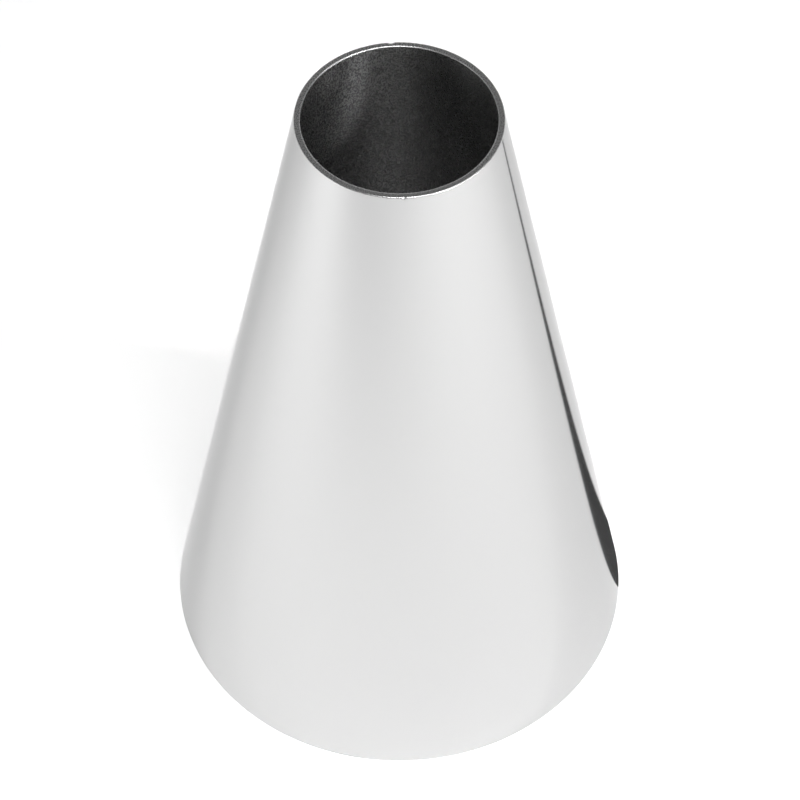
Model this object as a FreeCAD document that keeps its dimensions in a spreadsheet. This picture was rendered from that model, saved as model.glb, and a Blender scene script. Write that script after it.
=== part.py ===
import FreeCAD, Part

import math
import os

import Sketcher

# Plain round piping nozzle. A fan-shaped blank of thin stainless sheet is rolled into a cone
# that stands on its wide foot, and one weld closes the seam where the blank's two edges face
# each other. The seam is at the back, on the +Y side. The origin is the centre of the foot,
# +Z points to the tip, and lengths are in millimetres.

# Driving sizes, one cell each
SIZES = (
    ("base_diameter", "34", "outside of the wall at the foot"),
    ("tip_diameter", "14", "outside of the wall at the tip"),
    ("nozzle_height", "52", "foot to tip"),
    ("sheet_thickness", "0.45", "square to the wall"),
    ("edge_radius", "0.1", "broken edges of both rims"),
    ("seam_width", "0.5", "gap between the two edges of the blank, filled by the weld"),
    ("bead_width", "0.32", "root of the weld, inside the cone"),
    ("bead_crown", "0.03", "how far the root stands into the cone"),
    ("bead_setback", "1.5", "distance of the root's ends from the foot and the tip"),
    ("crater_radius", "0.2", "pit in the outer edge of the tip, where the weld run ends"),
    ("cut_overrun", "1", "how far the seam's cut runs past the sheet on every side"),
)

# Expressions that several pieces share
BASE_RADIUS = "sizes.base_diameter / 2"
TIP_RADIUS = "sizes.tip_diameter / 2"
LEAN = f"({BASE_RADIUS} - {TIP_RADIUS})"
RIM_WIDTH = f"sizes.sheet_thickness * sqrt(1 + ({LEAN} / sizes.nozzle_height)^2)"

FULL_TURN = 360

# A sketch's own numbers for the points of a line or arc, and for its axes and origin
START, END, CENTRE = range(1, 4)
X_AXIS, Y_AXIS = range(-1, -3, -1)
ORIGIN = (X_AXIS, START)


def add_sizes(doc):
    """The sheet of driving sizes, with an alias for each."""
    sheet = doc.addObject("Spreadsheet::Sheet", "sizes")
    for row, (alias, value, note) in enumerate(SIZES, start=1):
        sheet.set(f"A{row}", alias)
        sheet.set(f"B{row}", value)
        sheet.set(f"C{row}", note)
        sheet.setAlias(f"B{row}", alias)
    doc.recompute()
    return sheet


def rim_width(sheet):
    """Width of the sheet's cut rim, which is level while the wall leans."""
    lean = (sheet.base_diameter - sheet.tip_diameter) / 2
    return sheet.sheet_thickness * math.hypot(1, lean / sheet.nozzle_height)


def add_sketch(body, name, role):
    """A sketch on the body's own origin plane with that role."""
    sketch = body.newObject("Sketcher::SketchObject", name)
    plane = next(feature for feature in body.Origin.OriginFeatures if feature.Role == role)
    sketch.AttachmentSupport = (plane, [""])
    sketch.MapMode = "FlatFace"
    return sketch


def add_lines(sketch, points, closed=True):
    """Straight lines through the points, joined end to end. Returns their numbers."""
    ends = points[1:] + points[:1] if closed else points[1:]
    lines = []
    for start, end in zip(points, ends):
        lines.append(sketch.addGeometry(Part.LineSegment(FreeCAD.Vector(*start), FreeCAD.Vector(*end))))
    for line, following in zip(lines, lines[1:]):
        sketch.addConstraint(Sketcher.Constraint("Coincident", line, END, following, START))
    if closed:
        sketch.addConstraint(Sketcher.Constraint("Coincident", lines[-1], END, lines[0], START))
    return lines


def drive(sketch, name, expression, *constraint):
    """Adds a dimension to the sketch and binds it to an expression."""
    index = sketch.addConstraint(Sketcher.Constraint(*constraint))
    sketch.renameConstraint(index, name)
    sketch.setExpression(f"Constraints.{name}", expression)


def build_rolled_cone(doc, sheet):
    """The closed conical wall before the seam divides it into sheet and weld."""
    body = doc.addObject("PartDesign::Body", "rolled_cone")
    section = add_sketch(body, "wall_section", "YZ_Plane")
    foot = sheet.base_diameter / 2
    tip = sheet.tip_diameter / 2
    rim = rim_width(sheet)
    height = sheet.nozzle_height
    corners = [(foot, 0, 0), (tip, height, 0), (tip - rim, height, 0), (foot - rim, 0, 0)]
    outer, tip_rim, inner, foot_rim = add_lines(section, corners)
    section.addConstraint(Sketcher.Constraint("Horizontal", tip_rim))
    section.addConstraint(Sketcher.Constraint("Horizontal", foot_rim))
    section.addConstraint(Sketcher.Constraint("PointOnObject", outer, START, X_AXIS))
    section.addConstraint(Sketcher.Constraint("Parallel", outer, inner))
    drive(section, "foot_radius", BASE_RADIUS, "DistanceX", *ORIGIN, outer, START, foot)
    drive(section, "tip_radius", TIP_RADIUS, "DistanceX", *ORIGIN, outer, END, tip)
    drive(section, "height", "sizes.nozzle_height", "DistanceY", *ORIGIN, outer, END, height)
    drive(section, "thickness", "sizes.sheet_thickness", "Distance", inner, END, outer, sheet.sheet_thickness)

    wall = body.newObject("PartDesign::Revolution", "wall")
    wall.Profile = section
    wall.ReferenceAxis = (section, ["V_Axis"])
    wall.Angle = FULL_TURN
    doc.recompute()

    rims = [f"Edge{n}" for n, edge in enumerate(wall.Shape.Edges, start=1) if edge.isClosed()]
    broken_edges = body.newObject("PartDesign::Fillet", "broken_edges")
    broken_edges.Base = (wall, rims)
    broken_edges.setExpression("Radius", "sizes.edge_radius")
    return body


def run_along_seam(body, name, section, length, back_length):
    """Pads a level section along the leaning line of the seam, up and down from the section's plane."""
    run = body.newObject("PartDesign::Pad", name)
    run.Profile = section
    run.UseCustomVector = True
    run.Direction = FreeCAD.Vector(0, 0, 1)
    run.setExpression("Direction.y", f"-{LEAN}")
    run.setExpression("Direction.z", "sizes.nozzle_height")
    run.AlongSketchNormal = True
    run.SideType = "Two sides"
    run.setExpression("Length", length)
    run.setExpression("Length2", back_length)
    return run


def build_seam_strip(doc, sheet):
    """The straight strip that the seam takes out of the wall, longer and deeper than the sheet."""
    body = doc.addObject("PartDesign::Body", "seam_strip")
    section = add_sketch(body, "seam_section", "XY_Plane")
    half = sheet.seam_width / 2
    outside = sheet.base_diameter / 2 + sheet.cut_overrun
    inside = sheet.base_diameter / 2 - rim_width(sheet) - sheet.cut_overrun
    corners = [(-half, inside, 0), (half, inside, 0), (half, outside, 0), (-half, outside, 0)]
    inner, right, outer, left = add_lines(section, corners)
    section.addConstraint(Sketcher.Constraint("Horizontal", outer))
    for side in (right, left):
        section.addConstraint(Sketcher.Constraint("Vertical", side))
    section.addConstraint(Sketcher.Constraint("Symmetric", inner, START, inner, END, Y_AXIS))
    drive(section, "width", "sizes.seam_width", "DistanceX", inner, START, inner, END, sheet.seam_width)
    drive(section, "outside", f"{BASE_RADIUS} + sizes.cut_overrun",
          "DistanceY", *ORIGIN, outer, START, outside)
    drive(section, "inside", f"{BASE_RADIUS} - {RIM_WIDTH} - sizes.cut_overrun",
          "DistanceY", *ORIGIN, inner, START, inside)
    run_along_seam(body, "seam_run", section, "sizes.nozzle_height + sizes.cut_overrun", "sizes.cut_overrun")
    return body


def build_root_bead(doc, sheet):
    """The low rounded root of the weld along the inside, sunk to the middle of the sheet."""
    body = doc.addObject("PartDesign::Body", "root_bead")
    section = add_sketch(body, "bead_section", "XY_Plane")
    half = sheet.bead_width / 2
    crown = sheet.bead_crown
    wall = sheet.base_diameter / 2 - rim_width(sheet)
    seat = sheet.base_diameter / 2 - rim_width(sheet) / 2
    sides = [(half, wall, 0), (half, seat, 0), (-half, seat, 0), (-half, wall, 0)]
    right, back, left = add_lines(section, sides, closed=False)
    points = [(-half, wall, 0), (0, wall - crown, 0), (half, wall, 0)]
    root = section.addGeometry(Part.Arc(*(FreeCAD.Vector(*point) for point in points)))
    section.addConstraint(Sketcher.Constraint("Coincident", root, START, left, END))
    section.addConstraint(Sketcher.Constraint("Coincident", root, END, right, START))
    section.addConstraint(Sketcher.Constraint("Horizontal", back))
    for side in (right, left):
        section.addConstraint(Sketcher.Constraint("Vertical", side))
    section.addConstraint(Sketcher.Constraint("Symmetric", root, START, root, END, Y_AXIS))
    section.addConstraint(Sketcher.Constraint("PointOnObject", root, CENTRE, Y_AXIS))
    drive(section, "width", "sizes.bead_width", "DistanceX", back, END, back, START, sheet.bead_width)
    drive(section, "wall", f"{BASE_RADIUS} - {RIM_WIDTH}", "DistanceY", *ORIGIN, right, START, wall)
    drive(section, "seat", f"{BASE_RADIUS} - {RIM_WIDTH} / 2", "DistanceY", *ORIGIN, right, END, seat)
    bend = "(sizes.bead_width^2 / 4 + sizes.bead_crown^2) / (2 * sizes.bead_crown)"
    drive(section, "root_radius", bend, "Radius", root, (half**2 + crown**2) / (2 * crown))
    upper_end = "sizes.nozzle_height - sizes.bead_setback"
    run_along_seam(body, "bead_run", section, upper_end, "-sizes.bead_setback")
    return body


def build_crater(doc):
    """The round pit that the end of the weld run leaves in the outer edge of the tip."""
    crater = doc.addObject("Part::Sphere", "crater")
    crater.setExpression("Radius", "sizes.crater_radius")
    crater.setExpression("Placement.Base.y", TIP_RADIUS)
    crater.setExpression("Placement.Base.z", "sizes.nozzle_height")
    return crater


def combine(doc, kind, label, base, tool):
    """A boolean of two solids, with split faces joined again, placed at the part's origin."""
    result = doc.addObject(f"Part::{kind}", label)
    result.Label = label
    result.Base = base
    result.Tool = tool
    result.Refine = True
    result.Placement = FreeCAD.Placement()
    return result


def check(doc, pieces):
    """Stops unless every object is sound and each piece is one valid solid."""
    failed = [thing.Label for thing in doc.Objects if {"Invalid", "Error"} & set(thing.State)]
    if failed:
        raise RuntimeError(f"failed to build: {failed}")
    loose = [thing.Label for thing in doc.findObjects("Sketcher::SketchObject") if not thing.FullyConstrained]
    if loose:
        raise RuntimeError(f"sketches with free points: {loose}")
    for piece in pieces:
        shape = piece.Shape
        if shape.isNull() or not shape.isValid() or len(shape.Solids) != 1:
            raise RuntimeError(f"{piece.Label} isn't one valid solid")
        print(f"{piece.Label}: {shape.Volume:.3f} mm3")


def main():
    doc = FreeCAD.newDocument("piping_nozzle")
    sheet = add_sizes(doc)
    rolled_cone = build_rolled_cone(doc, sheet)
    seam_strip = build_seam_strip(doc, sheet)

    # The strip divides the wall, so the weld fits the slit face to face
    cone_wall = combine(doc, "Cut", "cone_wall", rolled_cone, seam_strip)
    weld_fill = combine(doc, "Common", "weld_fill", rolled_cone, seam_strip)
    weld_run = combine(doc, "Fuse", "weld_run", weld_fill, build_root_bead(doc, sheet))
    seam_weld = combine(doc, "Cut", "seam_weld", weld_run, build_crater(doc))
    doc.recompute()

    pieces = (cone_wall, seam_weld)
    check(doc, pieces)
    for whole, cut in ((rolled_cone, cone_wall), (weld_run, seam_weld)):
        if not cut.Shape.Volume < whole.Shape.Volume:
            raise RuntimeError(f"the cut left {cut.Label} whole")
    os.makedirs("parts", exist_ok=True)
    for piece in pieces:
        piece.Shape.exportStep(f"parts/{piece.Label}.step")


main()
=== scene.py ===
"""A plain round piping nozzle of polished stainless sheet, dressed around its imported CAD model.

Lengths are in metres, in the CAD model's own frame: the origin is the centre of the foot, +Z points to the
tip, and the welded seam is on the +Y side.
"""

import logging
import math
from collections.abc import Callable, Sequence
from dataclasses import dataclass, replace
from enum import Enum
from typing import Any

import bmesh
import bpy
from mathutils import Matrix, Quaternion, Vector


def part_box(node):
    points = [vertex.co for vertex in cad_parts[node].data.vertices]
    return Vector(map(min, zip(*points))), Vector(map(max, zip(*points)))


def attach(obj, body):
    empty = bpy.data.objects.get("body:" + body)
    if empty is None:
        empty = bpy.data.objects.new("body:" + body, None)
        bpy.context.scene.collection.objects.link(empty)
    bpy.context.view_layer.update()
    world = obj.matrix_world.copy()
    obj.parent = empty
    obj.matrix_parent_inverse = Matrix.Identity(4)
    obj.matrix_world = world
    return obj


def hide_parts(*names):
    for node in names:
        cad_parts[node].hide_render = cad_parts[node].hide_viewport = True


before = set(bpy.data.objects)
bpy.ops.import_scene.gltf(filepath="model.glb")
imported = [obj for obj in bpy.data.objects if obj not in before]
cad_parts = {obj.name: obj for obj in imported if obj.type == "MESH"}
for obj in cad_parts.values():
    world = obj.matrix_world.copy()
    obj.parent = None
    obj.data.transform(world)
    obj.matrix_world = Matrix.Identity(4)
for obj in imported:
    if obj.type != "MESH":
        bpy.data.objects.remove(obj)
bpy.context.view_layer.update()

MM = 0.001
BODY = "root"
BLANK_MAP = "flat_blank"
Z_AXIS = (0, 0, 1)
MIDWAY = 0.5
LEVEL_TOLERANCE = 0.001 * MM
# Share of a full turn, as the shader counts it
QUARTER_TURN = 0.25
# The sRGB curve: a straight foot below the knee and a power above it
FULL_LEVEL = 255
SRGB_KNEE = 0.04045
SRGB_SLOPE = 12.92
SRGB_OFFSET = 0.055
SRGB_POWER = 2.4
# Layers of ever finer noise in a pattern of marks
NOISE_DETAIL = 3
# Such noise hardly leaves this range, so the gloss is spread over it
NOISE_LOW = 0.38
NOISE_HIGH = 0.62
# Numbers of a Mix node's colour sockets, which share their names with its other sockets
MIX_FIRST = 6
MIX_SECOND = 7
MIX_RESULT = 2

log = logging.getLogger("piping_nozzle")


class Side(Enum):
    """The sides of the rolled sheet, each with a finish of its own."""

    OUTSIDE = 0
    INSIDE = 1
    CUT_RIM = 2


def linear(colour: str) -> tuple[float, float, float, float]:
    """Turns an sRGB hex colour into linear light.

    Args:
        colour: A number sign and six hex digits, red first.

    Returns:
        Red, green, blue and opacity, each from 0 to 1.
    """
    shares = (level / FULL_LEVEL for level in bytes.fromhex(colour.lstrip("#")))
    red, green, blue = (
        share / SRGB_SLOPE if share <= SRGB_KNEE
        else ((share + SRGB_OFFSET) / (1 + SRGB_OFFSET)) ** SRGB_POWER
        for share in shares)
    return red, green, blue, 1.0


def add_node(
    tree: bpy.types.NodeTree,
    kind: str,
    settings: dict[str | int, Any] | None = None,
    links: dict[str | int, bpy.types.NodeSocket] | None = None,
) -> bpy.types.Node:
    """Adds one node with its settings and links.

    Args:
        tree: The node tree that takes it.
        kind: Blender's name for the type of node.
        settings: Values for its input sockets, by name or number, and for its own properties, by name.
        links: Output sockets that feed its inputs, by the input's name or number.

    Returns:
        The new node.
    """
    node = tree.nodes.new(kind)
    for key, value in (settings or {}).items():
        if isinstance(key, str) and hasattr(node, key):
            setattr(node, key, value)
        else:
            node.inputs[key].default_value = value
    for key, output in (links or {}).items():
        tree.links.new(output, node.inputs[key])
    return node


def new_material(name: str) -> tuple[bpy.types.Material, bpy.types.NodeTree]:
    """Makes an empty node material.

    Args:
        name: The finish's name.

    Returns:
        The material and its node tree.
    """
    material = bpy.data.materials.new(name)
    material.use_nodes = True
    material.node_tree.nodes.clear()
    return material, material.node_tree


@dataclass(frozen=True)
class SteelFinish:
    """Bare stainless steel with fine marks that the making of its surface left.

    Where the marks run round the cone, gloss spreads across them and hardly along them, so what the steel
    mirrors is drawn out up and down the wall.
    """

    name: str
    colour: str
    roughness: float
    roughness_spread: float
    # How much further the gloss spreads across the marks than along them
    anisotropy: float
    # Sizes of one mark along X, Y and Z
    mark: tuple[float, float, float]
    relief: float
    # At a glancing angle steel mirrors less than the plain rule for metals says
    glancing_tint: str = "#DEDEDE"

    def material(self) -> bpy.types.Material:
        """Makes the finish as a node material.

        Returns:
            The material.
        """
        material, tree = new_material(self.name)
        place = add_node(tree, "ShaderNodeTexCoord").outputs["Object"]
        scale = tuple(1 / size for size in self.mark)
        stretched = add_node(tree, "ShaderNodeMapping", {"Scale": scale}, {"Vector": place})
        marks = add_node(tree, "ShaderNodeTexNoise", {"Scale": 1, "Detail": NOISE_DETAIL},
                         {"Vector": stretched.outputs["Vector"]})
        gloss = add_node(tree, "ShaderNodeMapRange",
                         {"From Min": NOISE_LOW, "From Max": NOISE_HIGH,
                          "To Min": self.roughness - self.roughness_spread,
                          "To Max": self.roughness + self.roughness_spread},
                         {"Value": marks.outputs["Fac"]})
        relief = add_node(tree, "ShaderNodeBump", {"Strength": 1, "Distance": self.relief},
                          {"Height": marks.outputs["Fac"]})
        along_marks = add_node(tree, "ShaderNodeVectorMath", {"operation": "CROSS_PRODUCT", 0: Z_AXIS},
                               {1: place})
        steel = add_node(tree, "ShaderNodeBsdfPrincipled",
                         {"Base Color": linear(self.colour), "Metallic": 1,
                          "Specular Tint": linear(self.glancing_tint),
                          "Anisotropic": self.anisotropy, "Anisotropic Rotation": QUARTER_TURN},
                         {"Roughness": gloss.outputs["Result"], "Normal": relief.outputs["Normal"],
                          "Tangent": along_marks.outputs["Vector"]})
        add_node(tree, "ShaderNodeOutputMaterial", links={"Surface": steel.outputs["BSDF"]})
        return material


@dataclass(frozen=True)
class BuffedSteel(SteelFinish):
    """Stainless sheet, buffed on a wheel while the cone turns.

    It is an even, bright mirror: white beside white paper and crisp from side to side, with hair-fine lines
    that only soften the edges of what it mirrors.
    """

    name: str = "stainless_sheet_buffed"
    colour: str = "#C6C6C6"
    roughness: float = 0.09
    roughness_spread: float = 0.006
    anisotropy: float = 0.6
    # Real buffing lines are about 0.02 mm apart. These are drawn coarser, so that they show
    mark: tuple[float, float, float] = (9 * MM, 9 * MM, 0.12 * MM)
    relief: float = 0.0001 * MM


@dataclass(frozen=True)
class BrushedSteel(SteelFinish):
    """Stainless sheet, brushed inside the cone with a turning mop.

    It is a soft satin: dim, because little light gets into the cone, with a glow up and down the wall
    opposite each lamp. The brush marks are small pits of uneven gloss, which break the glow into grit.
    """

    name: str = "stainless_sheet_brushed"
    colour: str = "#BCBCBC"
    roughness: float = 0.265
    roughness_spread: float = 0.06
    anisotropy: float = 0.98
    # Real brush marks are about 0.03 mm across. These are drawn coarser, so that they show
    mark: tuple[float, float, float] = (0.1 * MM, 0.1 * MM, 0.18 * MM)
    relief: float = 0.012 * MM


@dataclass(frozen=True)
class StonedSteel(SteelFinish):
    """The sheet's cut edge, levelled on a fine stone.

    It is a flat satin grey with fine grit, darker than the wall because it mirrors the dim ceiling.
    """

    name: str = "stainless_sheet_stoned_edge"
    colour: str = "#CACACA"
    roughness: float = 0.28
    roughness_spread: float = 0.04
    anisotropy: float = 0.0
    # A fine stone's grit leaves scratches about 0.02 mm wide. These are drawn coarser, so that they show
    mark: tuple[float, float, float] = (0.08 * MM, 0.08 * MM, 0.08 * MM)
    relief: float = 0.003 * MM


@dataclass(frozen=True)
class DressedWeld(SteelFinish):
    """Weld metal, ground flush with the sheet and buffed with it.

    Fused metal is a little coarser than rolled sheet, so it takes a slightly duller shine with small clouds.
    """

    name: str = "stainless_weld_dressed"
    colour: str = "#BCBCBC"
    roughness: float = 0.12
    roughness_spread: float = 0.02
    anisotropy: float = 0.6
    # The grains of fused metal are this size
    mark: tuple[float, float, float] = (0.3 * MM, 0.3 * MM, 0.15 * MM)
    relief: float = 0.0004 * MM


@dataclass(frozen=True)
class Matt:
    """Plain matt paper or card of the studio, an even tone without gloss.

    Paper can be lifted towards white where it is seen, straight on or in the steel. The lift lights nothing
    else.
    """

    name: str
    colour: str
    seen_lift: float = 0.0

    def material(self) -> bpy.types.Material:
        """Makes the finish as a node material.

        Returns:
            The material.
        """
        material, tree = new_material(self.name)
        surface = add_node(tree, "ShaderNodeBsdfDiffuse", {"Color": linear(self.colour)}).outputs["BSDF"]
        if self.seen_lift:
            ray = add_node(tree, "ShaderNodeLightPath").outputs
            seen = ray["Is Camera Ray"]
            for kind in ("Is Glossy Ray", "Is Transmission Ray"):
                either = add_node(tree, "ShaderNodeMath", {"operation": "MAXIMUM"}, {0: seen, 1: ray[kind]})
                seen = either.outputs["Value"]
            lift = add_node(tree, "ShaderNodeMath", {"operation": "MULTIPLY", 1: self.seen_lift}, {0: seen})
            glow = add_node(tree, "ShaderNodeEmission", links={"Strength": lift.outputs["Value"]})
            surface = add_node(tree, "ShaderNodeAddShader",
                               links={0: surface, 1: glow.outputs["Emission"]}).outputs["Shader"]
        add_node(tree, "ShaderNodeOutputMaterial", links={"Surface": surface})
        return material


@dataclass(frozen=True)
class SheetSection:
    """The wall's cross-section: a leaning straight sheet with level rims and broken edges."""

    foot_radius: float
    tip_radius: float
    height: float
    thickness: float
    edge_radius: float
    wall_rows: int = 40
    edge_rows: int = 6
    rim_rows: int = 3

    @classmethod
    def measured(cls, node: bpy.types.Object) -> "SheetSection":
        """Measures the section of the CAD model's wall.

        Args:
            node: The CAD wall, turned about the Z axis.

        Returns:
            The section with the same sizes.
        """
        points = [(math.hypot(v.co.x, v.co.y), v.co.z) for v in node.data.vertices]
        height = max(z for _, z in points)
        foot = max(point for point in points if point[1] < height / 2)
        tip = max(point for point in points if point[1] > height / 2)
        lean = math.atan2(foot[0] - tip[0], tip[1] - foot[1])
        depths = [radius * math.cos(lean) + z * math.sin(lean) for radius, z in points]
        thickness = max(depths) - min(depths)
        rim = [radius for radius, z in points if math.isclose(z, height, abs_tol=LEVEL_TOLERANCE)]
        # A broken edge takes its radius over the tangent of half the corner from each side of the corner
        corners = sum(1 / math.tan((math.pi / 2 + turn) / 2) for turn in (lean, -lean))
        return cls(
            foot_radius=max(depths) / math.cos(lean),
            tip_radius=(max(depths) - height * math.sin(lean)) / math.cos(lean),
            height=height,
            thickness=thickness,
            edge_radius=(thickness / math.cos(lean) - max(rim) + min(rim)) / corners,
        )

    @property
    def lean(self) -> float:
        """Angle of the wall to the axis."""
        return math.atan2(self.foot_radius - self.tip_radius, self.height)

    @property
    def rim_width(self) -> float:
        """Width of the level cut rim, broken edges included."""
        return self.thickness / math.cos(self.lean)

    @property
    def apex_height(self) -> float:
        """Height at which the wall's outer lines would meet."""
        return self.foot_radius / math.tan(self.lean)

    def depth_share(self, point: Vector) -> float:
        """How deep a point lies in the sheet, from 0 on the outer line to 1 on the inner line."""
        outer = self.foot_radius - point.z * math.tan(self.lean)
        return (outer - math.hypot(point.x, point.y)) / self.rim_width

    def outline(self, inset: float) -> list[Vector]:
        """Draws one half of the section, from the middle of the foot rim to the middle of the tip rim.

        Args:
            inset: Distance of this half's wall line from the outer wall line, along the rim.

        Returns:
            Points as distance from the axis and height.
        """
        middle = self.rim_width / 2
        foot = Vector((self.foot_radius - inset, 0))
        tip = Vector((self.tip_radius - inset, self.height))
        foot_middle = Vector((self.foot_radius - middle, 0))
        tip_middle = Vector((self.tip_radius - middle, self.height))
        foot_edge = self.broken_edge(foot_middle, foot, tip)
        tip_edge = self.broken_edge(foot, tip, tip_middle)
        points = [foot_middle.lerp(foot_edge[0], row / self.rim_rows) for row in range(self.rim_rows)]
        points += foot_edge[:-1]
        for row in range(self.wall_rows):
            # Rows crowd towards both ends, where the wall turns into its rims
            share = (1 - math.cos(math.pi * row / self.wall_rows)) / 2
            points.append(foot_edge[-1].lerp(tip_edge[0], share))
        points += tip_edge[:-1]
        points += [tip_edge[-1].lerp(tip_middle, row / self.rim_rows) for row in range(self.rim_rows + 1)]
        return points

    def broken_edge(self, before: Vector, corner: Vector, after: Vector) -> list[Vector]:
        """Rounds one corner of the section.

        Args:
            before: A point on the line that comes to the corner.
            corner: The sharp corner.
            after: A point on the line that leaves it.

        Returns:
            Points along the round.
        """
        back = (before - corner).normalized()
        on = (after - corner).normalized()
        half = back.angle(on) / 2
        centre = corner + (back + on).normalized() * self.edge_radius / math.sin(half)
        start = (corner + back * self.edge_radius / math.tan(half) - centre).normalized()
        end = (corner + on * self.edge_radius / math.tan(half) - centre).normalized()
        shares = [row / self.edge_rows for row in range(self.edge_rows + 1)]
        return [centre + start.slerp(end, share) * self.edge_radius for share in shares]

    def sides(self) -> list[Side]:
        """Names the side of the sheet for each step along an outline.

        Returns:
            One side a step, from the foot to the tip, with the wall as OUTSIDE.
        """
        rim = [Side.CUT_RIM] * self.rim_rows
        edge = [Side.CUT_RIM] * self.edge_rows
        return rim + edge + [Side.OUTSIDE] * self.wall_rows + edge + rim


def sweep_sheet(
    name: str,
    section: SheetSection,
    shares: Sequence[float],
    place: Callable[[float, float], float],
    shape: Callable[[Vector], Vector],
) -> bpy.types.Object:
    """Sweeps the sheet's section about the axis into a closed mesh with two flat ends.

    Args:
        name: The piece's name.
        section: The sheet's section.
        shares: How far round each column stands, from 0 to 1.
        place: Gives a column's angle from the seam's middle for its share and a distance from the axis.
        shape: Moves a point for small features.

    Returns:
        The piece, with the flat blank's plan in its UV map.
    """
    outer = section.outline(0)
    inner = section.outline(section.rim_width)
    loop = outer + inner[-2:0:-1]
    sides = section.sides()
    loop_sides = sides + [Side.INSIDE if side is Side.OUTSIDE else side for side in reversed(sides)]
    last = len(outer) - 1
    fan = math.sin(section.lean)
    mesh = bmesh.new()
    blank = mesh.loops.layers.uv.new(BLANK_MAP)
    plans: dict[bmesh.types.BMVert, tuple[float, float]] = {}
    columns = []
    for share in shares:
        column = []
        for radius, height in loop:
            angle = place(share, radius)
            at = Vector((-radius * math.sin(angle), radius * math.cos(angle), height))
            vert = mesh.verts.new(shape(at))
            slant = (section.apex_height - height) / math.cos(section.lean)
            plans[vert] = (slant * math.sin(angle * fan), slant * math.cos(angle * fan))
            column.append(vert)
        columns.append(column)
    for column, following in zip(columns, columns[1:]):
        for step, side in enumerate(loop_sides):
            after = (step + 1) % len(loop)
            face = mesh.faces.new((column[step], column[after], following[after], following[step]))
            face.material_index = side.value
            face.smooth = True
    for column in (columns[0], columns[-1]):
        for step in range(last):
            ring = [column[step], column[step + 1], column[-step - 1], column[-step]]
            corners = list(dict.fromkeys(ring))
            mesh.faces.new(corners).material_index = Side.CUT_RIM.value
        for vert, following in zip(column, column[1:] + column[:1]):
            mesh.edges.get((vert, following)).smooth = False
    bmesh.ops.recalc_face_normals(mesh, faces=mesh.faces)
    for face in mesh.faces:
        for corner in face.loops:
            corner[blank].uv = plans[corner.vert]
    data = bpy.data.meshes.new(name)
    mesh.to_mesh(data)
    mesh.free()
    piece = bpy.data.objects.new(name, data)
    bpy.context.scene.collection.objects.link(piece)
    return piece


def dress_sides(piece: bpy.types.Object, finishes: dict[Side, SteelFinish]) -> None:
    """Gives each side of a swept sheet its finish.

    Args:
        piece: The sheet, whose faces carry the numbers of their sides.
        finishes: The finish of each side.
    """
    for side in Side:
        piece.data.materials.append(finishes[side].material())


@dataclass(frozen=True)
class Nick:
    """A small dent in the outer edge of the tip."""

    # Degrees round from the seam
    turn: float
    width: float
    depth: float


@dataclass
class RolledWall:
    """The rolled sheet: a cone open at both ends, with a slit for the weld at the back."""

    section: SheetSection
    slit_width: float
    columns: int = 720
    # Columns on each side of a nick, and how many of its widths they reach
    nick_columns: int = 24
    nick_reach: float = 3
    nicks: tuple[Nick, ...] = (
        Nick(turn=178.2, width=0.1 * MM, depth=0.04 * MM),
        Nick(turn=182.6, width=0.08 * MM, depth=0.025 * MM),
    )

    def build(self) -> bpy.types.Object:
        """Builds the wall's mesh in place of the CAD wall.

        Returns:
            The wall.
        """
        shares = {column / self.columns for column in range(self.columns + 1)}
        for nick in self.nicks:
            # Columns stand closer together across a nick
            reach = self.nick_reach * nick.width / (math.tau * self.section.tip_radius)
            middle = math.radians(nick.turn) / math.tau
            steps = range(-self.nick_columns, self.nick_columns + 1)
            shares |= {middle + reach * step / self.nick_columns for step in steps}
        piece = sweep_sheet("rolled_wall", self.section, sorted(shares), self.angle, self.dented)
        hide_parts("cone_wall")
        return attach(piece, BODY)

    def angle(self, share: float, radius: float) -> float:
        """Angle of a column, from one edge of the slit round to the other."""
        edge = math.asin(self.slit_width / 2 / radius)
        return edge + share * (math.tau - 2 * edge)

    def dented(self, point: Vector) -> Vector:
        """Moves a point near the tip's outer edge into the nicks there.

        Args:
            point: A point of the plain wall.

        Returns:
            Where it lies on the nicked wall.
        """
        radius = math.hypot(point.x, point.y)
        from_edge = math.hypot(self.section.tip_radius - radius, self.section.height - point.z)
        turn = math.atan2(-point.x, point.y) % math.tau
        into_metal = Vector((-point.x, -point.y, -radius)).normalized()
        for nick in self.nicks:
            along = (turn - math.radians(nick.turn)) * self.section.tip_radius
            distance = math.hypot(along, from_edge) / nick.width
            point = point + into_metal * nick.depth * math.exp(-distance ** 2)
        return point

    def dress(self, piece: bpy.types.Object) -> None:
        """Gives each side of the wall its finish."""
        finishes = {Side.OUTSIDE: BuffedSteel(), Side.INSIDE: BrushedSteel(), Side.CUT_RIM: StonedSteel()}
        dress_sides(piece, finishes)


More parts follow.
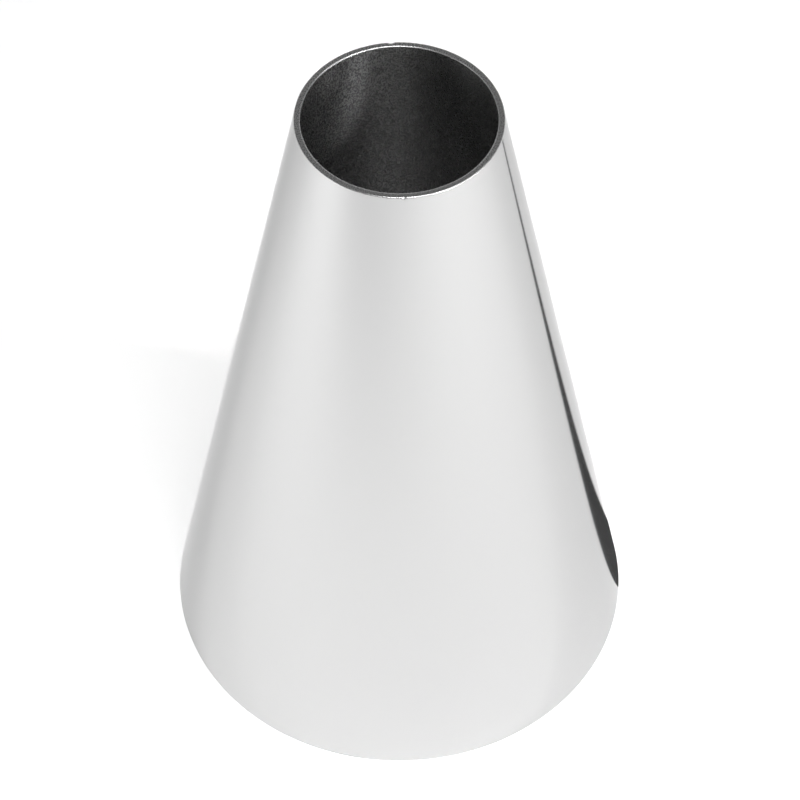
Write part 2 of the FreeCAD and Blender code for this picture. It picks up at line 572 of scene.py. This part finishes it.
@dataclass
class SeamWeld:
    """The run of weld metal that fills the slit from foot to tip."""

    section: SheetSection
    width: float
    columns: int = 20
    wall_rows: int = 800
    edge_rows: int = 8
    rim_rows: int = 6
    bead_width: float = 0.44 * MM
    bead_crown: float = 0.028 * MM
    bead_setback: float = 1.5 * MM
    bead_run_in: float = 6 * MM
    # Shares of the sheet's depth, from the inner and the outer face, over which bead and sink fade out
    bead_reach: float = 0.5
    sink_reach: float = 0.25
    ripple_pitch: float = 0.5 * MM
    ripple_bow: float = 0.16 * MM
    ripple_share: float = 0.4
    dressed_sink: float = 0.004 * MM
    sink_steepness: int = 4
    crater_radius: float = 0.2 * MM

    def build(self) -> bpy.types.Object:
        """Builds the weld's mesh in place of the CAD weld.

        Returns:
            The weld.
        """
        section = replace(
            self.section, wall_rows=self.wall_rows, edge_rows=self.edge_rows, rim_rows=self.rim_rows)
        shares = [column / self.columns for column in range(self.columns + 1)]
        piece = sweep_sheet("weld_run", section, shares, self.angle, self.shaped)
        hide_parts("seam_weld")
        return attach(piece, BODY)

    def angle(self, share: float, radius: float) -> float:
        """Angle of a column, from one edge of the weld across to the other."""
        return math.asin((share - MIDWAY) * self.width / radius)

    def shaped(self, point: Vector) -> Vector:
        """Moves a point of the plain strip to the weld's own surface.

        Args:
            point: A point of the plain strip.

        Returns:
            Where it lies on the weld.
        """
        depth = self.section.depth_share(point)
        bead_share = max(0, 1 - (1 - depth) / self.bead_reach)
        sink_share = max(0, 1 - depth / self.sink_reach)
        inward = self.bead(point) * bead_share + self.sink(point) * sink_share
        return self.pitted(point - Vector((0, inward, 0)))

    def bead(self, point: Vector) -> float:
        """Finds the height of the rippled root bead inside the cone.

        Args:
            point: A point of the plain strip.

        Returns:
            How far the bead stands into the cone there.
        """
        across = 2 * point.x / self.bead_width
        crown = self.bead_crown * max(0, 1 - across ** 2)
        from_end = min(point.z, self.section.height - point.z) - self.bead_setback
        run_in = min(1, max(0, from_end / self.bead_run_in))
        # Each ripple is a crescent whose middle trails the torch
        phase = (point.z + self.ripple_bow * across ** 2) / self.ripple_pitch
        ripple = self.ripple_share * (1 + math.cos(math.tau * phase)) / 2
        return crown * run_in * (1 - ripple)

    def sink(self, point: Vector) -> float:
        """Depth of the dressed outer face below the sheet, which shows as a fine line along each edge."""
        return self.dressed_sink * (2 * point.x / self.width) ** self.sink_steepness

    def pitted(self, point: Vector) -> Vector:
        """Moves a point inside the crater at the tip down to the crater's floor.

        Args:
            point: A point of the weld.

        Returns:
            The same point, or one on the crater's floor.
        """
        from_middle = point - Vector((0, self.section.tip_radius, self.section.height))
        if from_middle.length >= self.crater_radius:
            return point
        into_metal = Vector((0, -1, -1)).normalized()
        along = from_middle.dot(into_metal)
        return point + into_metal * (
            math.sqrt(along ** 2 - from_middle.length_squared + self.crater_radius ** 2) - along)

    def dress(self, piece: bpy.types.Object) -> None:
        """Gives each side of the weld its finish, inside and on the rims the same as the sheet's."""
        finishes = {Side.OUTSIDE: DressedWeld(), Side.INSIDE: BrushedSteel(), Side.CUT_RIM: StonedSteel()}
        dress_sides(piece, finishes)


@dataclass(frozen=True)
class Softbox:
    """One lamp behind a flat diffuser, aimed at the middle of the nozzle or at the floor beside it."""

    name: str
    # Degrees to the right of the camera and above the floor
    turn: float
    elevation: float
    distance: float
    width: float
    height: float
    radiance: float
    # Turn about the line to the nozzle, in degrees
    roll: float = 0
    # Whole angle of its beam, in degrees
    spread: float = 180
    # Distance from the nozzle's axis to the point on the floor that it aims at instead
    floor_aim: float | None = None

    def build(self, studio_turn: float, target: Vector) -> bpy.types.Object:
        """Builds the lamp.

        Args:
            studio_turn: Turn of the studio about the nozzle's axis, in degrees.
            target: The point that it aims at.

        Returns:
            The lamp.
        """
        lamp = bpy.data.lights.new(self.name, "AREA")
        lamp.shape = "RECTANGLE"
        lamp.size = self.width
        lamp.size_y = self.height
        # A lamp's power is its radiance times pi times its area
        lamp.energy = self.radiance * math.pi * self.width * self.height
        lamp.spread = math.radians(self.spread)
        holder = bpy.data.objects.new(self.name, lamp)
        away = aim(self.turn + studio_turn, self.elevation)
        if self.floor_aim is not None:
            target = aim(self.turn + studio_turn, 0) * self.floor_aim
        holder.location = target + away * self.distance
        facing = away.to_track_quat("Z", "Y") @ Quaternion(Z_AXIS, math.radians(self.roll))
        holder.rotation_euler = facing.to_euler()
        bpy.context.scene.collection.objects.link(holder)
        return holder


def aim(turn: float, elevation: float) -> Vector:
    """Direction from the nozzle to something round it.

    Args:
        turn: Degrees round the Z axis to the right, from the front.
        elevation: Degrees above the floor.

    Returns:
        A unit vector.
    """
    round_axis, up = math.radians(turn), math.radians(elevation)
    level = math.cos(up)
    return Vector((math.sin(round_axis) * level, -math.cos(round_axis) * level, math.sin(up)))


@dataclass
class Studio:
    """A white paper floor under soft lamps, and the camera."""

    foot_radius: float
    middle: float
    # The seam lies a little to the left of the back, as the camera sees it
    turn: float = -4.5
    camera_distance: float = 257.2 * MM
    camera_elevation: float = 51.20
    camera_pitch: float = 51.76
    camera_lens: float = 161.26
    # Share of the picture's width by which the nozzle stands left of its middle
    camera_shift: float = 0.0009
    paper: str = "#F0F0F0"
    floor_reach: float = 3000 * MM
    # Light added to the paper where it is seen, so that it is white but keeps the shadow
    seen_lift: float = 0.32
    # A dark card that only the steel mirrors paints a dark streak of reflection down the wall's right side
    # The painted reflection's dark card lies on the floor. It starts under the foot and tapers away to the
    # right
    painted_reflection_card: str = "#4A4A4A"
    painted_reflection_start: tuple[float, float] = (15.2 * MM, 0.45 * MM)
    painted_reflection_end: tuple[float, float] = (56.0 * MM, 44.2 * MM)
    painted_reflection_start_width: float = 4.8 * MM
    painted_reflection_end_width: float = 2.8 * MM
    painted_reflection_height: float = 0.02 * MM
    backdrop: str = "#FFFFFF"
    ceiling: str = "#6A6A6A"
    # The backdrop turns into the ceiling between these heights, from 0 at the horizon to 1 overhead
    backdrop_top: float = 0.12
    ceiling_edge: float = 0.35
    # The strip and the front softbox draw the glow inside the cone. The two grids light the floor beside the
    # nozzle, which the wall mirrors as two bright bands
    softboxes: tuple[Softbox, ...] = (
        Softbox("key_softbox", turn=72, elevation=60, distance=300 * MM,
                width=240 * MM, height=240 * MM, radiance=1.32),
        Softbox("strip_softbox", turn=43, elevation=37, distance=200 * MM,
                width=5 * MM, height=85 * MM, radiance=110.0, roll=-40),
        Softbox("front_softbox", turn=8, elevation=68, distance=300 * MM,
                width=110 * MM, height=50 * MM, radiance=19.5),
        Softbox("right_grid", turn=70, elevation=25, distance=300 * MM,
                width=60 * MM, height=60 * MM, radiance=3.2, spread=24, floor_aim=85 * MM),
        Softbox("left_grid", turn=-72, elevation=25, distance=300 * MM,
                width=60 * MM, height=60 * MM, radiance=2.2, spread=22, floor_aim=105 * MM),
        Softbox("low_right_softbox", turn=47, elevation=6, distance=600 * MM,
                width=870 * MM, height=60 * MM, radiance=2.2),
        Softbox("low_left_softbox", turn=-80, elevation=6, distance=600 * MM,
                width=440 * MM, height=60 * MM, radiance=2.2),
        Softbox("back_softbox", turn=180, elevation=18, distance=400 * MM,
                width=500 * MM, height=200 * MM, radiance=0.6),
    )

    def build(self) -> None:
        """Builds the floor, the lamps, the room's light and the camera."""
        self.ring("floor", self.foot_radius, self.floor_reach,
                  Matt("white_paper", self.paper, self.seen_lift))
        self.ring("floor_inside", 0, self.foot_radius, Matt("white_paper_in_the_nozzle", self.paper))
        # A dark card that paints a dark streak into the steel's reflection
        self.painted_reflection_strip()
        for softbox in self.softboxes:
            softbox.build(self.turn, Vector((0, 0, self.middle)))
        self.room()
        self.camera()

    def ring(self, name: str, inner: float, outer: float, finish: Matt, steps: int = 128) -> None:
        """Lays a level ring or disc of floor.

        Args:
            name: The piece's name.
            inner: Its inner radius, or zero for a disc.
            outer: Its outer radius.
            finish: What it is made of.
            steps: Corners round the ring.
        """
        mesh = bmesh.new()
        turns = [math.tau * step / steps for step in range(steps)]
        rims = [[mesh.verts.new((radius * math.cos(turn), radius * math.sin(turn), 0)) for turn in turns]
                for radius in (inner, outer) if radius]
        if inner:
            bmesh.ops.bridge_loops(mesh, edges=[mesh.edges.new((a, b)) for rim in rims
                                                for a, b in zip(rim, rim[1:] + rim[:1])])
        else:
            mesh.faces.new(rims[0])
        bmesh.ops.recalc_face_normals(mesh, faces=mesh.faces)
        self.place(name, mesh, finish)

    def painted_reflection_strip(self) -> None:
        """Lays a tapering dark card on the floor, which only the steel mirrors: a painted dark reflection
        that the camera doesn't see and that casts no shadow.
        """
        start, end = Vector(self.painted_reflection_start), Vector(self.painted_reflection_end)
        across = (end - start).orthogonal().normalized() / 2
        near, far = across * self.painted_reflection_start_width, across * self.painted_reflection_end_width
        corners = (start - near, end - far, end + far, start + near)
        mesh = bmesh.new()
        mesh.faces.new([mesh.verts.new((*corner, self.painted_reflection_height)) for corner in corners])
        painted_reflection_card = self.place("painted_reflection_strip", mesh, Matt("painted_reflection_grey", self.painted_reflection_card))
        painted_reflection_card.rotation_euler.z = math.radians(self.turn)
        # Only glossy rays see the card, so it is a painted reflection and nothing else
        painted_reflection_card.visible_camera = False
        painted_reflection_card.visible_diffuse = False
        painted_reflection_card.visible_shadow = False

    @staticmethod
    def place(name: str, mesh: bmesh.types.BMesh, finish: Matt) -> bpy.types.Object:
        """Makes a stage piece of a mesh.

        Args:
            name: The piece's name.
            mesh: Its mesh, which is freed.
            finish: What it is made of.

        Returns:
            The piece.
        """
        data = bpy.data.meshes.new(name)
        mesh.to_mesh(data)
        mesh.free()
        data.materials.append(finish.material())
        piece = bpy.data.objects.new(name, data)
        bpy.context.scene.collection.objects.link(piece)
        return piece

    def room(self) -> None:
        """Lights the room: a white backdrop all round, which ends in a dim ceiling."""
        world = bpy.data.worlds.new("studio_room")
        bpy.context.scene.world = world
        world.use_nodes = True
        tree = world.node_tree
        tree.nodes.clear()
        way = add_node(tree, "ShaderNodeTexCoord").outputs["Generated"]
        parts = add_node(tree, "ShaderNodeSeparateXYZ", links={"Vector": way})
        rise = add_node(tree, "ShaderNodeMapRange",
                        {"From Min": self.backdrop_top, "From Max": self.ceiling_edge,
                         "interpolation_type": "SMOOTHSTEP"},
                        {"Value": parts.outputs["Z"]})
        shade = add_node(tree, "ShaderNodeMix",
                         {"data_type": "RGBA", MIX_FIRST: linear(self.backdrop),
                          MIX_SECOND: linear(self.ceiling)},
                         {"Factor": rise.outputs["Result"]})
        light = add_node(tree, "ShaderNodeBackground", links={"Color": shade.outputs[MIX_RESULT]})
        add_node(tree, "ShaderNodeOutputWorld", links={"Surface": light.outputs["Background"]})

    def camera(self) -> None:
        """Sets up the camera where the photograph was taken from."""
        data = bpy.data.cameras.new("camera")
        data.lens = self.camera_lens
        data.shift_x = self.camera_shift
        holder = bpy.data.objects.new("camera", data)
        away = aim(self.turn, self.camera_elevation)
        holder.location = Vector((0, 0, self.middle)) + away * self.camera_distance
        holder.rotation_euler = aim(self.turn, self.camera_pitch).to_track_quat("Z", "Y").to_euler()
        bpy.context.scene.collection.objects.link(holder)
        bpy.context.scene.camera = holder


def main() -> None:
    """Builds the nozzle's pieces and the studio, and reports each piece."""
    logging.basicConfig(level=logging.INFO)
    bpy.context.scene.view_settings.view_transform = "Standard"
    section = SheetSection.measured(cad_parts["cone_wall"])
    log.info("section %s", section)
    slit = 2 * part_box("seam_weld")[1].x
    for part in (RolledWall(section, slit), SeamWeld(section, slit)):
        piece = part.build()
        part.dress(piece)
        log.info("%s: %d faces", piece.name, len(piece.data.polygons))
    Studio(section.foot_radius - section.rim_width / 2, section.height / 2).build()


if __name__ == "__main__":
    main()
